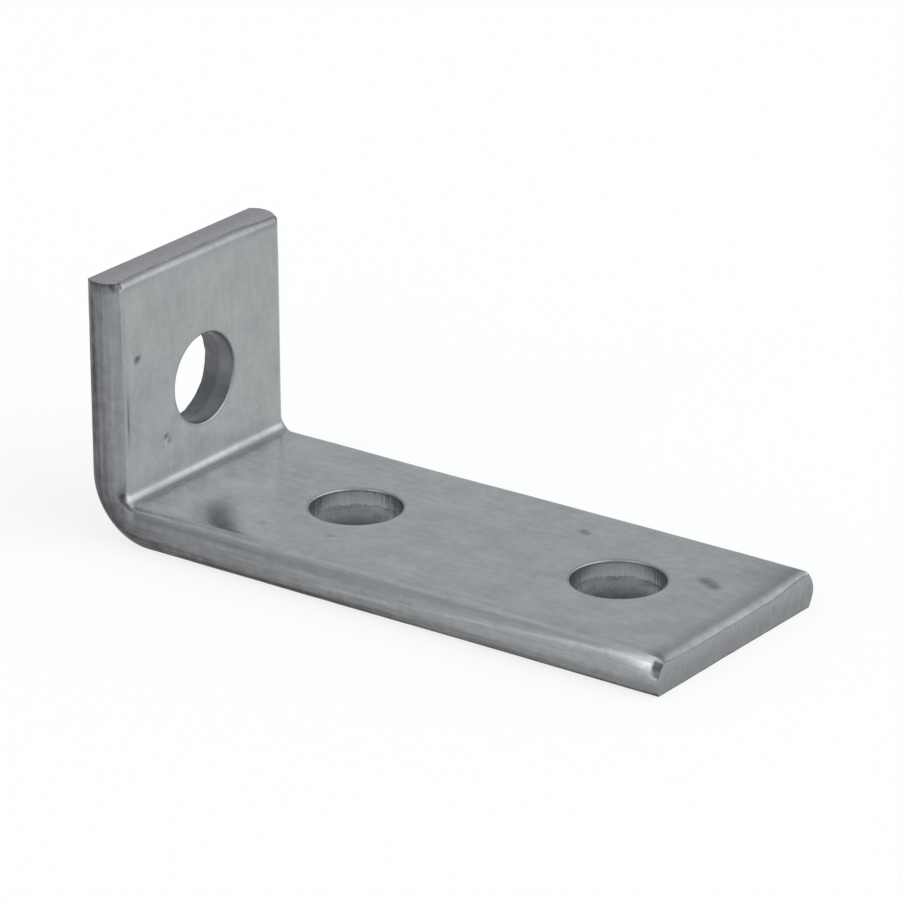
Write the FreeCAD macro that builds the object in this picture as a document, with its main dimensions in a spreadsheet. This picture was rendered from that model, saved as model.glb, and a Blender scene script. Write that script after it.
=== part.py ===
import FreeCAD, Part
import math
import os
import Sketcher

# Strut angle fitting: one length of flat bar with rolled edges, sheared to length, punched and folded.
# Millimetres. The long leg lies along +X, the short leg stands up, and the width runs along Y.
# The sketches are drawn from the corner datum, where the planes of the two outer faces meet at mid width.
# The body is then moved so that the origin is at the middle of the underside.

# Driving dimensions: alias, value, meaning
DIMENSIONS = [
    ("bar_width", 41.275, "between the widest lines of the rolled bar, 1 5/8 in"),
    ("bar_thickness", 6.35, "thickness of the bar, 1/4 in"),
    ("outer_edge_setback", 1.1, "from the widest line in to the edge of the outer face"),
    ("inner_edge_setback", 2.0, "from the widest line in to the edge of the inner face"),
    ("inner_edge_round", 1.5, "round along the edge of the inner face"),
    ("long_leg", 103.1875, "outer face of the short leg to the free end, 4 1/16 in"),
    ("short_leg", 41.275, "underside to the sheared top of the short leg, 1 5/8 in"),
    ("bend_radius", 3.175, "inside radius of the fold, 1/8 in"),
    ("hole_radius", 7.14375, "punched hole 9/16 in across, for a 1/2 in bolt"),
    ("hole_end_distance", 20.6375, "hole centre to the sheared end of its leg, 13/16 in"),
    ("hole_spacing", 47.625, "between the two holes of the long leg, 1 7/8 in"),
    ("punch_rim_roll", 0.4, "round on the rim where the punch went in"),
    ("punch_land", 2.6, "straight wall of a hole, under its rim"),
    ("punch_breakout", 0.8, "how far the torn wall opens by the outer face, on the radius"),
    ("shear_roll", 0.9, "round on a sheared end, where the blade came down"),
]

# Names for what a sketch constraint points at
START, END, CENTRE = 1, 2, 3
ROOT_POINT = (-1, 1)
X_AXIS, Y_AXIS = -1, -2

NEAR = 1e-4  # two lengths this close are the same
CUT_CLEAR = 1.0  # how far a hole's cutting profile stands out of the bar at either face
FULL_TURN = 360

doc = FreeCAD.newDocument("AngleFitting")
sheet = doc.addObject("Spreadsheet::Sheet", "Dimensions")
for row, (alias, value, meaning) in enumerate(DIMENSIONS, start=1):
    sheet.set(f"A{row}", meaning)
    sheet.set(f"B{row}", str(value))
    sheet.setAlias(f"B{row}", alias)
doc.recompute()

body = doc.addObject("PartDesign::Body", "AngleFitting")
body.Label = "angle_fitting"


def origin_part(role):
    """A plane or axis of the body's own origin."""
    return next(p for p in body.Origin.OriginFeatures if p.Role == role)


def new_sketch(name, role, shapes, rules):
    """A sketch on an origin plane. A rule is a constraint's kind and arguments.
    A rule that ends with a formula on the sheet has its size bound to that formula."""
    sketch = body.newObject("Sketcher::SketchObject", name)
    sketch.AttachmentSupport = [(origin_part(role), "")]
    sketch.MapMode = "FlatFace"
    sketch.addGeometry(shapes, False)
    for rule in rules:
        if not isinstance(rule[-1], str):
            sketch.addConstraint(Sketcher.Constraint(*rule))
            continue
        formula = rule[-1]
        index = sketch.addConstraint(Sketcher.Constraint(*rule[:-1], sheet.evalExpression(formula)))
        sketch.setExpression(f"Constraints[{index}]", formula)
    return sketch


def new_feature(kind, name, **bound):
    """A feature of the body, with its sizes bound to formulas on the sheet."""
    feature = body.newObject(f"PartDesign::{kind}", name)
    for prop, formula in bound.items():
        feature.setExpression(prop, formula)
    return feature


def line(start, end):
    return Part.LineSegment(FreeCAD.Vector(*start, 0), FreeCAD.Vector(*end, 0))


def arc_through(start, middle, end):
    return Part.Arc(FreeCAD.Vector(*start, 0), FreeCAD.Vector(*middle, 0), FreeCAD.Vector(*end, 0))


def arc_about(centre, radius, start_deg, end_deg):
    """Counter-clockwise arc."""
    circle = Part.Circle(FreeCAD.Vector(*centre, 0), FreeCAD.Vector(0, 0, 1), radius)
    return Part.ArcOfCircle(circle, math.radians(start_deg), math.radians(end_deg))


# Path of the fold: down the outer face of the short leg, round the bend, along the underside
short_leg = sheet.short_leg
long_leg = sheet.long_leg
thickness = sheet.bar_thickness
bend_outside = sheet.bend_radius + thickness
UPRIGHT, BEND, FLAT = 0, 1, 2
fold_path = new_sketch(
    "FoldPath",
    "XZ_Plane",
    [
        line((0, short_leg), (0, bend_outside)),
        arc_about((bend_outside, bend_outside), bend_outside, 180, 270),
        line((bend_outside, 0), (long_leg, 0)),
    ],
    [
        ("PointOnObject", UPRIGHT, START, Y_AXIS),
        ("Vertical", UPRIGHT),
        ("Tangent", UPRIGHT, END, BEND, START),
        ("Tangent", BEND, END, FLAT, START),
        ("PointOnObject", FLAT, END, X_AXIS),
        ("Horizontal", FLAT),
        ("Radius", BEND, "Dimensions.bend_radius + Dimensions.bar_thickness"),
        ("DistanceY", *ROOT_POINT, UPRIGHT, START, "Dimensions.short_leg"),
        ("DistanceX", *ROOT_POINT, FLAT, END, "Dimensions.long_leg"),
    ],
)

# Section of the bar at the top of the short leg: flat outer and inner faces, convex rolled sides.
# A side arc touches the widest line, a construction line, and is the same on both sides.
half_width = sheet.bar_width / 2
outer_half = half_width - sheet.outer_edge_setback
inner_half = half_width - sheet.inner_edge_setback
mid_depth = thickness / 2
OUTER, LEFT, INNER, RIGHT, WIDEST = 0, 1, 2, 3, 4
bar_section = new_sketch(
    "BarSection",
    "XY_Plane",
    [
        line((0, -outer_half), (0, outer_half)),
        arc_through((thickness, inner_half), (mid_depth, half_width), (0, outer_half)),
        line((thickness, inner_half), (thickness, -inner_half)),
        arc_through((0, -outer_half), (mid_depth, -half_width), (thickness, -inner_half)),
        line((0, half_width), (thickness, half_width)),
    ],
    [
        ("Coincident", OUTER, END, LEFT, END),
        ("Coincident", LEFT, START, INNER, START),
        ("Coincident", INNER, END, RIGHT, END),
        ("Coincident", RIGHT, START, OUTER, START),
        ("PointOnObject", OUTER, START, Y_AXIS),
        ("Symmetric", OUTER, START, OUTER, END, X_AXIS),
        ("Symmetric", INNER, START, INNER, END, X_AXIS),
        ("Equal", LEFT, RIGHT),
        ("PointOnObject", WIDEST, START, Y_AXIS),
        ("Horizontal", WIDEST),
        ("Vertical", WIDEST, END, INNER, START),
        ("Tangent", LEFT, WIDEST),
        ("DistanceX", *ROOT_POINT, INNER, START, "Dimensions.bar_thickness"),
        ("DistanceY", *ROOT_POINT, WIDEST, START, "Dimensions.bar_width / 2"),
        ("DistanceY", OUTER, END, WIDEST, START, "Dimensions.outer_edge_setback"),
        ("DistanceY", INNER, START, WIDEST, END, "Dimensions.inner_edge_setback"),
    ],
)
bar_section.setConstruction(WIDEST, True)
bar_section.setExpression("AttachmentOffset.Base.z", "Dimensions.short_leg")

folded_bar = new_feature("AdditivePipe", "FoldedBar")
folded_bar.Profile = bar_section
folded_bar.Spine = (fold_path, [""])
doc.recompute()


def edges_where(shape, test):
    """Names of the edges whose two ends both pass the test, which takes a point."""
    return [
        f"Edge{number}"
        for number, edge in enumerate(shape.Edges, start=1)
        if len(edge.Vertexes) == 2 and all(test(v.Point) for v in edge.Vertexes)
    ]


# Rounds along the two edges of the inner faces, from one sheared end to the other
long_edges = edges_where(folded_bar.Shape, lambda p: abs(p.y - inner_half) < NEAR)
long_edges += edges_where(folded_bar.Shape, lambda p: abs(p.y + inner_half) < NEAR)
rolled_edges = new_feature("Fillet", "RolledEdges", Radius="Dimensions.inner_edge_round")
rolled_edges.Base = (folded_bar, long_edges)
doc.recompute()

# Rounds on the inner edge of each sheared end. They run on round the corners and down the sides.
blade_edges = edges_where(
    rolled_edges.Shape,
    lambda p: abs(p.z - short_leg) < NEAR and abs(p.x - thickness) < NEAR,
)
blade_edges += edges_where(
    rolled_edges.Shape,
    lambda p: abs(p.x - long_leg) < NEAR and abs(p.z - thickness) < NEAR,
)
sheared_ends = new_feature("Fillet", "ShearedEnds", Radius="Dimensions.shear_roll")
sheared_ends.Base = (rolled_edges, blade_edges)
doc.recompute()

# A punched hole is a groove turned about the hole's own axis. Its profile stands on the outer face:
# torn wall that opens outwards, straight land, and a round rim on the inner face.
hole_radius = sheet.hole_radius
rim_radius = hole_radius + sheet.punch_rim_roll
torn_radius = hole_radius + sheet.punch_breakout
land_top = thickness - sheet.punch_rim_roll
land_foot = land_top - sheet.punch_land
tool_foot = -CUT_CLEAR
tool_top = thickness + CUT_CLEAR
AXIS, TOP, COLLAR, RIM, LAND, TORN, SKIRT, FOOT = 0, 1, 2, 3, 4, 5, 6, 7


def punched_hole(name, offset, **bound):
    """A groove through the bar. The offset puts the profile's foot on the outer face at the hole's centre."""
    profile = new_sketch(
        name + "Profile",
        "XZ_Plane",
        [
            line((0, tool_foot), (0, tool_top)),
            line((0, tool_top), (rim_radius, tool_top)),
            line((rim_radius, tool_top), (rim_radius, thickness)),
            arc_about((rim_radius, land_top), sheet.punch_rim_roll, 90, 180),
            line((hole_radius, land_top), (hole_radius, land_foot)),
            line((hole_radius, land_foot), (torn_radius, 0)),
            line((torn_radius, 0), (torn_radius, tool_foot)),
            line((torn_radius, tool_foot), (0, tool_foot)),
        ],
        [
            ("Coincident", AXIS, END, TOP, START),
            ("Coincident", TOP, END, COLLAR, START),
            ("Coincident", COLLAR, END, RIM, START),
            ("Tangent", RIM, END, LAND, START),
            ("Coincident", LAND, END, TORN, START),
            ("Coincident", TORN, END, SKIRT, START),
            ("Coincident", SKIRT, END, FOOT, START),
            ("Coincident", FOOT, END, AXIS, START),
            ("PointOnObject", AXIS, START, Y_AXIS),
            ("Vertical", AXIS),
            ("Horizontal", TOP),
            ("Vertical", COLLAR),
            ("Vertical", RIM, CENTRE, RIM, START),
            ("Vertical", LAND),
            ("PointOnObject", TORN, END, X_AXIS),
            ("Vertical", SKIRT),
            ("Horizontal", FOOT),
            ("Radius", RIM, "Dimensions.punch_rim_roll"),
            ("DistanceX", *ROOT_POINT, LAND, START, "Dimensions.hole_radius"),
            ("DistanceX", *ROOT_POINT, TORN, END, "Dimensions.hole_radius + Dimensions.punch_breakout"),
            ("DistanceY", *ROOT_POINT, RIM, START, "Dimensions.bar_thickness"),
            ("DistanceY", LAND, END, LAND, START, "Dimensions.punch_land"),
            ("DistanceY", AXIS, START, *ROOT_POINT, CUT_CLEAR),
            ("DistanceY", RIM, START, AXIS, END, CUT_CLEAR),
        ],
    )
    profile.AttachmentOffset = offset
    for prop, formula in bound.items():
        profile.setExpression(f"AttachmentOffset.Base.{prop}", formula)
    groove = new_feature("Groove", name)
    groove.Profile = profile
    groove.ReferenceAxis = (profile, ["V_Axis"])
    groove.Angle = FULL_TURN
    doc.recompute()
    return groove


upright_offset = FreeCAD.Placement(FreeCAD.Vector(), FreeCAD.Rotation(FreeCAD.Vector(0, 0, 1), -90))
short_leg_hole = punched_hole(
    "ShortLegHole",
    upright_offset,
    y="Dimensions.short_leg - Dimensions.hole_end_distance",
)
end_hole = punched_hole(
    "EndHole",
    FreeCAD.Placement(),
    x="Dimensions.long_leg - Dimensions.hole_end_distance",
)

# The second hole of the long leg lies one spacing back towards the bend
hole_row = new_feature("LinearPattern", "HoleRow", Length="Dimensions.hole_spacing")
hole_row.Originals = [end_hole]
hole_row.Direction = (origin_part("X_Axis"), [""])
hole_row.Reversed = True
hole_row.Occurrences = 2
body.Tip = hole_row
body.setExpression("Placement.Base.x", "-Dimensions.long_leg / 2")
doc.recompute()

# Nothing is written unless every object was made, the shapes are sound and each step took metal away
failed = [o.Name for o in doc.Objects if "Invalid" in o.State or "Error" in o.State]
if failed:
    raise RuntimeError(f"not made: {failed}")
steps = [folded_bar, rolled_edges, sheared_ends, short_leg_hole, end_hole, hole_row]
for before, after in zip(steps, steps[1:]):
    if not after.Shape.Volume < before.Shape.Volume:
        raise RuntimeError(f"{after.Name} took nothing away")
if body.Shape.isNull() or not body.Shape.isValid() or len(body.Shape.Solids) != 1:
    raise RuntimeError("the fitting is not one sound solid")

os.makedirs("parts", exist_ok=True)
body.Shape.exportStep(f"parts/{body.Label}.step")
box = body.Shape.optimalBoundingBox()
volume_cm3 = body.Shape.Volume / 1000
print(f"{body.Label}: {box.XLength:.2f} x {box.YLength:.2f} x {box.ZLength:.2f} mm, {volume_cm3:.3f} cm3")
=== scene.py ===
import math

import bpy
import numpy as np
from mathutils import Matrix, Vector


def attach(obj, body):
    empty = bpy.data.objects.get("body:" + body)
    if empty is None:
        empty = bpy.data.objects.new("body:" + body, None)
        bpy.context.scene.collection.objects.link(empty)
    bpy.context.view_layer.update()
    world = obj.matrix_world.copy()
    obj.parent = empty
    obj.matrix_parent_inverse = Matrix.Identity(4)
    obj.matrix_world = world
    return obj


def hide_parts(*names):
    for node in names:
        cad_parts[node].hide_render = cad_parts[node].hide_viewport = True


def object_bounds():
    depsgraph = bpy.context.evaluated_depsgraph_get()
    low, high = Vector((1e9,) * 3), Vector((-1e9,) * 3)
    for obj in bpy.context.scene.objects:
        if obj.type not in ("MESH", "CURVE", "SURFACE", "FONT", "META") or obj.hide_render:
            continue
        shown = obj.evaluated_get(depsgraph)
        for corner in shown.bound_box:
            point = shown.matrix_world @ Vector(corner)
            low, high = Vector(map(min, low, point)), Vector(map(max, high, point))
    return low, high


# Strut angle fitting: one flat bar with rolled edges, sheared to length, punched three times, folded and
# zinc plated. Shapes are worked out on the flat bar, in millimetres, and then folded. makePiece turns them
# to metres.

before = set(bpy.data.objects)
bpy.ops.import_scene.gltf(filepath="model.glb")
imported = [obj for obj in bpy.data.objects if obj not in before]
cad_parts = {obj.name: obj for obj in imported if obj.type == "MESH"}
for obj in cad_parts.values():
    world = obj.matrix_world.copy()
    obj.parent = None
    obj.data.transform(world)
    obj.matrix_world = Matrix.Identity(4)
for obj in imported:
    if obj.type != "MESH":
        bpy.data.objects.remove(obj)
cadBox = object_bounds()
print("frame loaded:", sorted(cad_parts))

# Where two values are given by 1 and -1, 1 is the far side and -1 the near one.
bar = {
    "width": 41.275,
    "thickness": 6.35,
    "longLeg": 103.1875,
    "shortLeg": 41.275,
    "foldInner": 1.65,  # the fold is tight inside and rounder outside, so the bar is thinner there
    "foldOuter": 10.4,
    "foldBulge": {1: 0.5, -1: 0.2},  # how far its squeezed inner corner swells sideways
    "bulgeFrom": 0.45,  # share of the thickness where that starts
    "outerSetback": 1.1,  # from the widest line in to the edge of the outer face
    "innerSetback": {1: 2.0, -1: 1.25},  # the same at the inner face
    "outerRound": 0.3,  # the edge of the outer face is nearly sharp
    "innerRound": {1: 1.5, -1: 2.2},
    "panel": 9.5,  # half side of the square that holds a punched hole
    "panelCells": 40,  # mesh cells along that square's side
    "flatCells": 18,  # from the square out to the first round
    "roundCells": (4, 16, 12),  # along the outer round, the side arc and the inner round
    "foldCells": 32,
    "edgeTurn": 65,  # degrees from level up to which the side has a mill edge's finish
}

# The blade rolls a sheared end's inner edge over and cuts the tops of the upright edges off. A pair with no
# other note holds the short leg's end first, then the long leg's, which is the free end.
shear = {
    "roll": (1.05, 1.5),
    "cutBack": {1: (0.5, 0.3), -1: (0.7, 1.5)},  # the upright edges' cut: how far along the bar
    "cutIn": {1: (0.45, 0.3), -1: (0.5, 0.2)},  # and how far into its side
    "cutFrom": (0.23, 0.5),  # share of the thickness where it starts
    "cutWhole": (0.77, 0.83),  # and where it is whole
    "cutFlat": 0.85,  # how flat it is, against a plain round
    "burr": 0.1,  # the lower edges are nearly sharp
    "dip": (0.95, 1.0),  # how far the inner face sinks towards the end
    "dipFrom": 0.35,  # share of the thickness where the sinking starts
    "reach": 3.4,  # how fast it fades along the bar
    "farHold": (0.8, 8, 19),  # share of it missing at the far edge, and where that starts and is whole
    "nearHold": (0.45, 11, 20),
    "nearDip": (0.0, 0.2),  # how much more it sinks at the near corner
    "nearReach": (4.6, 4.5),  # how fast that fades along the bar and across it
    "pull": (0.1, 0.6),  # how far the near side draws in at the end
    "pullBand": (12, 20),  # and where that starts and is whole
    "pullReach": 5.0,
    "slant": 0.25,  # how far the free end's broken lower half stands back at mid width
    "slantTilt": 1.4,  # how much that grows from the far side to the near one, as a share of it
    "slantHeight": 3.6,
    "slantReach": 4,
    "rows": 12,  # mesh rows round the end's edges
    "rollTurn": (50, 90),  # degrees from level between which the cut gives way to the roll
    "edgeTurn": 84,  # as in bar, on the near side of the short leg's end
}

hole = {
    "radius": 7.14375,
    "endDistance": 20.6375,  # from a sheared end
    "spacing": 47.625,
    "rimRoll": 0.3,
    "land": 2.6,  # burnished wall under the rim
    "breakout": (0.8, 0.3, 0.1),  # how far each torn wall opens by the outer face
    "dish": 0.05,  # how deep the face is drawn in round the rim
    "dishReach": 0.9,
    "rows": (10, 5, 6, 8),  # mesh rows across the square, round the rim, down the land and down the torn wall
}

foldReach = (bar["foldOuter"] + bar["thickness"] + bar["foldInner"]) / 2
foldLength = math.pi / 4 * (bar["foldOuter"] + bar["foldInner"])
foldStart = bar["shortLeg"] - foldReach
foldEnd = foldStart + foldLength
barLength = foldEnd + bar["longLeg"] - foldReach
holePlaces = [
    hole["endDistance"],
    barLength - hole["endDistance"] - hole["spacing"],
    barLength - hole["endDistance"],
]
landEnd = bar["thickness"] - hole["rimRoll"] - hole["land"]

# the finishes' numbers on the mesh's faces
rolledFace, shearedFace, holeWall, millEdge = range(4)


def smoothStep(low, high, value):
    # 0 below low, 1 above high, an even S between
    t = np.clip((value - low) / (high - low), 0, 1)
    return t * t * (3 - 2 * t)


def bell(value, centre, width):
    # 1 at the centre, falling off evenly to both sides
    return np.exp(-(((value - centre) / width) ** 2))


def foldShare(s):
    # 0 where the fold starts, 1 where it ends
    return (s - foldStart) / foldLength


def foldBar(flat):
    # flat holds s along the bar from the short leg's sheared end, y across, q up from the outer face.
    # s runs straight down the short leg, turns a quarter, and goes on along the long leg. At each depth the
    # turn is an arc of that depth's own radius, and short straight runs lead to it from the holes' squares.
    s, y, q = flat[..., 0], flat[..., 1], flat[..., 2]
    depth = q / bar["thickness"]
    radius = bar["foldOuter"] + (bar["foldInner"] - bar["foldOuter"]) * depth
    reach = q + radius  # from the outer faces to the arc's centre
    leadIn = holePlaces[0] + bar["panel"]
    leadOut = holePlaces[1] - bar["panel"]
    angle = np.clip(foldShare(s), 0, 1) * math.pi / 2
    down = np.clip((foldStart - s) / (foldStart - leadIn), 0, 1)
    along = np.clip((s - foldEnd) / (leadOut - foldEnd), 0, 1)
    x = reach - radius * np.cos(angle) + along * (leadOut - barLength + bar["longLeg"] - reach)
    x += np.maximum(s - leadOut, 0) - bar["longLeg"] / 2
    z = reach - radius * np.sin(angle) + down * (bar["shortLeg"] - leadIn - reach)
    z += np.maximum(leadIn - s, 0)
    # the inner corner of the fold swells sideways
    edge = np.clip(np.abs(y) / (bar["width"] / 2), 0, 1) ** 8
    swell = np.where(y > 0, bar["foldBulge"][1], bar["foldBulge"][-1]) * bell(foldShare(s), 0.5, 0.42) * edge
    y = y + np.sign(y) * swell * np.clip(depth - bar["bulgeFrom"], 0, 1) / (1 - bar["bulgeFrom"])
    return np.stack([x, y, z], -1)


def sideProfile(side):
    # One side of the section, from the outer face round to the inner: flat, small round, side arc, round,
    # flat. Each round is an arc that rolls inside the corner of a flat and the side arc, so all of them share
    # one turning angle of the normal, from straight out of the outer face to straight out of the inner.
    # The side arc's radius is searched in steps of 0.0001 mm: the one that leaves both setbacks as they are.
    thick, outer, inner = bar["thickness"], bar["outerSetback"], bar["innerSetback"][side]
    radii = np.linspace(2, 20, 180001)
    below = np.sqrt(2 * radii * outer - outer**2)
    above = np.sqrt(2 * radii * inner - inner**2)
    best = np.argmin(np.abs(below + above - thick))
    radius, widest = radii[best], below[best]
    centreY = bar["width"] / 2 - radius
    ro, ri = bar["outerRound"], bar["innerRound"][side]
    outerY = centreY + math.sqrt((radius - ro) ** 2 - (ro - widest) ** 2)
    innerY = centreY + math.sqrt((radius - ri) ** 2 - (thick - ri - widest) ** 2)
    turnA = math.atan2(ro - widest, outerY - centreY)
    turnB = math.atan2(thick - ri - widest, innerY - centreY)
    flatOut = np.linspace(bar["panel"], outerY, bar["flatCells"] + 1)
    flatIn = np.linspace(innerY, bar["panel"], bar["flatCells"] + 1)
    stops = (-math.pi / 2, turnA, turnB, math.pi / 2)
    turns = [np.linspace(a, b, cells + 1)[:-1] for a, b, cells in zip(stops, stops[1:], bar["roundCells"])]
    centres = [(outerY, ro, ro), (centreY, widest, radius), (innerY, thick - ri, ri)]
    y = [flatOut[:-1]] + [c[0] + c[2] * np.cos(a) for a, c in zip(turns, centres)] + [flatIn]
    q = [0 * flatOut[:-1]] + [c[1] + c[2] * np.sin(a) for a, c in zip(turns, centres)] + [0 * flatIn + thick]
    turn = [0 * flatOut[:-1] - math.pi / 2] + turns + [0 * flatIn + math.pi / 2]
    return np.stack([np.concatenate(y), np.concatenate(q), np.concatenate(turn)])


def barSection():
    # The closed section: across the outer face, up the far side, back across the inner face, down the near
    # side. Each point has y and q, how far its normal has turned from level, and the normal's own y and q.
    across = np.linspace(-bar["panel"], bar["panel"], bar["panelCells"] + 1)[1:-1]
    outer = np.stack([across, 0 * across, 0 * across - math.pi / 2])
    inner = np.stack([-across, 0 * across + bar["thickness"], 0 * across + math.pi / 2])
    far = sideProfile(1)
    near = sideProfile(-1)[:, ::-1] * np.array([[-1], [1], [1]])
    side = np.repeat([0, 1, 0, -1], [len(across), len(far[0]), len(across), len(near[0])])
    y, q, turn = np.concatenate([outer, far, inner, near], 1)
    return y, q, turn, np.cos(turn) * side, np.sin(turn)


def stationLine():
    # Places along the bar where a section stands: close rows round both sheared ends, the cells of the three
    # squares, and even steps between. Rows of an end also say how far they stand back and in, on a round and
    # on a flat cut.
    square = np.linspace(-bar["panel"], bar["panel"], bar["panelCells"] + 1)
    clear = 1.1 * max(shear["roll"])  # the plain rows keep clear of the rolled edges

    def evenRows(first, last):
        cells = round((last - first) / (2 * bar["panel"]) * bar["panelCells"])
        return np.linspace(first, last, max(1, cells) + 1)

    start, plain = clear, []
    for place in holePlaces:
        if start < foldStart < place:  # the fold's own rows, closer together
            plain += [evenRows(start, foldStart)[:-1]]
            plain += [np.linspace(foldStart, foldEnd, bar["foldCells"] + 1)[:-1]]
            start = foldEnd
        plain += [evenRows(start, place - bar["panel"])[:-1], (place + square)[:-1]]
        start = place + bar["panel"]
    plain += [evenRows(start, barLength - clear)]
    plain = np.concatenate(plain)
    share = np.linspace(1, 0, shear["rows"] + 1)
    turn = share * math.pi / 2
    first = np.stack([0 * turn, 1 - np.sin(turn), 1 - np.cos(turn), share])
    middle = np.stack([plain, 0 * plain, 0 * plain, 0 * plain])
    last = np.stack([0 * turn + barLength, np.sin(turn) - 1, 1 - np.cos(turn), share])[:, ::-1]
    return np.concatenate([first, middle, last], 1)


def gridFaces(rows, columns, closed):
    # Quads of a grid of rows by columns; a closed grid joins its last column to its first.
    i = np.arange(rows - 1)[:, None]
    j = np.arange(columns if closed else columns - 1)[None, :]
    here, beside = i * columns + j, i * columns + (j + 1) % columns
    return np.stack([here, beside, beside + columns, here + columns], -1)


def cutRise(q, end):
    # how much of the upright edges' cut there is at height q: none low down, whole by the inner face
    lowest, highest = shear["cutFrom"][end], shear["cutWhole"][end]
    return np.clip((q / bar["thickness"] - lowest) / (highest - lowest), 0, 1) ** 0.8


def barSkin():
    # The closed section carried along the bar. At the ends each point stands in along its own normal and back
    # from the cut, as a quarter round on the inner face and as a mostly flat cut on the upright edges.
    # The cells inside the three squares are left out for the punched holes.
    y, q, turn, normalY, normalQ = barSection()
    base, back, inset, flatCut = stationLine()
    onFace = smoothStep(*np.radians(shear["rollTurn"]), turn)
    atFirst = base < barLength / 2
    sizes = {"cutBack": [], "cutIn": []}
    for way, made in sizes.items():
        for end in (0, 1):
            cut = np.where(y < 0, shear[way][-1][end], shear[way][1][end])
            upright = shear["burr"] + (cut - shear["burr"]) * cutRise(q, end)
            made.append(upright * (1 - onFace) + shear["roll"][end] * onFace)
    cutShare = shear["cutFlat"] * (1 - onFace)
    backLine = back[:, None] * (1 - cutShare) + np.sign(back)[:, None] * (1 - flatCut[:, None]) * cutShare
    insetLine = inset[:, None] * (1 - cutShare) + flatCut[:, None] * cutShare
    s = base[:, None] + backLine * np.where(atFirst[:, None], *sizes["cutBack"])
    drawn = insetLine * np.where(atFirst[:, None], *sizes["cutIn"])
    flat = np.stack(np.broadcast_arrays(s, y - drawn * normalY, q - drawn * normalQ), -1)
    middle = (base[:-1] + base[1:]) / 2
    inSquare = np.any([np.abs(middle - place) < bar["panel"] for place in holePlaces], 0)
    widest = np.maximum(np.abs(y), np.abs(np.roll(y, -1)))
    rounding = 1e-6
    onBand = (widest < bar["panel"] + rounding) & (np.abs(normalY) < rounding)
    keep = ~(inSquare[:, None] & onBand[None, :])
    byTop = (np.maximum(flatCut[:-1], flatCut[1:]) > 0) & atFirst[1:]
    steepest = np.where(byTop[:, None] & (normalY < 0)[None, :], shear["edgeTurn"], bar["edgeTurn"])
    onSide = np.abs(turn)[None, :] < np.radians(steepest)
    return flat, gridFaces(*flat.shape[:2], True)[keep], np.where(onSide[keep], millEdge, rolledFace)


def shearedEnd(loop, facesForward):
    # Coons patch: the blend of four curves, across the outer face's edge, across the inner's, and up both
    # sides. It takes up the section's loop of points, which starts one cell in from the square's corner.
    nWide, nHigh = 2 * bar["flatCells"] + bar["panelCells"], sum(bar["roundCells"])
    loop = np.roll(loop, 1 + bar["flatCells"], 0)
    loop = np.concatenate([loop, loop[:1]])
    bottom, right = loop[: nWide + 1], loop[nWide : nWide + nHigh + 1]
    top, left = loop[nWide + nHigh : 2 * nWide + nHigh + 1][::-1], loop[2 * nWide + nHigh :][::-1]
    u = np.linspace(0, 1, len(bottom))[:, None, None]
    v = np.linspace(0, 1, len(left))[None, :, None]
    ruled = (1 - v) * bottom[:, None] + v * top[:, None] + (1 - u) * left[None] + u * right[None]
    corners = (1 - u) * ((1 - v) * bottom[0] + v * top[0]) + u * ((1 - v) * bottom[-1] + v * top[-1])
    flat = ruled - corners
    faces = gridFaces(*flat.shape[:2], False).reshape(-1, 4)
    return flat, faces[:, ::-1] if facesForward else faces, np.full(len(faces), shearedFace)


def punchedHole(place, breakout):
    # A profile carried round the hole: in from the square on the inner face, round the rolled rim, down the
    # land, out along the torn wall, and out to the square on the outer face, at the angles of its points.
    thick, roll = bar["thickness"], hole["rimRoll"]
    faceRows, rimRows, landRows, tornRows = hole["rows"]
    walk = np.linspace(-bar["panel"], bar["panel"], bar["panelCells"] + 1)[:-1]
    edge = 0 * walk + bar["panel"]
    sides = (edge, walk), (-walk, edge), (-edge, -walk), (walk, -edge)
    square = np.concatenate([np.stack(side, -1) for side in sides])
    angle = np.arctan2(square[:, 1], square[:, 0])
    circle = np.stack([np.cos(angle), np.sin(angle)], -1)
    rim, torn = hole["radius"] + roll, hole["radius"] + breakout
    share = 1 - (1 - np.linspace(0, 1, faceRows + 1)[:, None, None]) ** 1.25  # closer rows near the rim
    onInner = square * (1 - share) + rim * circle * share
    onOuter = torn * circle * (1 - share) + square * share
    turn = np.radians(np.linspace(0, 90, rimRows + 1))[1:]
    rollR, rollQ = rim - roll * np.sin(turn), thick - roll * (1 - np.cos(turn))
    landQ = np.linspace(thick - roll, landEnd, landRows + 1)[1:]
    tornQ = np.linspace(landEnd, 0, tornRows + 1)[1:]
    tornR = hole["radius"] + breakout * (1 - tornQ / landEnd)
    wallR = np.concatenate([rollR, 0 * landQ + hole["radius"], tornR])
    wallQ = np.concatenate([rollQ, landQ, tornQ])
    plan = np.concatenate([onInner, wallR[:, None, None] * circle, onOuter[1:]])
    q = np.concatenate([0 * share[:, 0, 0] + thick, wallQ, 0 * share[1:, 0, 0]])
    flat = np.stack(np.broadcast_arrays(plan[..., 0] + place, plan[..., 1], q[:, None]), -1)
    row = np.repeat(np.arange(len(q) - 1), len(square)) - faceRows
    onWall = (row >= rimRows) & (row < rimRows + landRows + tornRows)
    return flat, gridFaces(*flat.shape[:2], True).reshape(-1, 4), np.where(onWall, holeWall, rolledFace)


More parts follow.
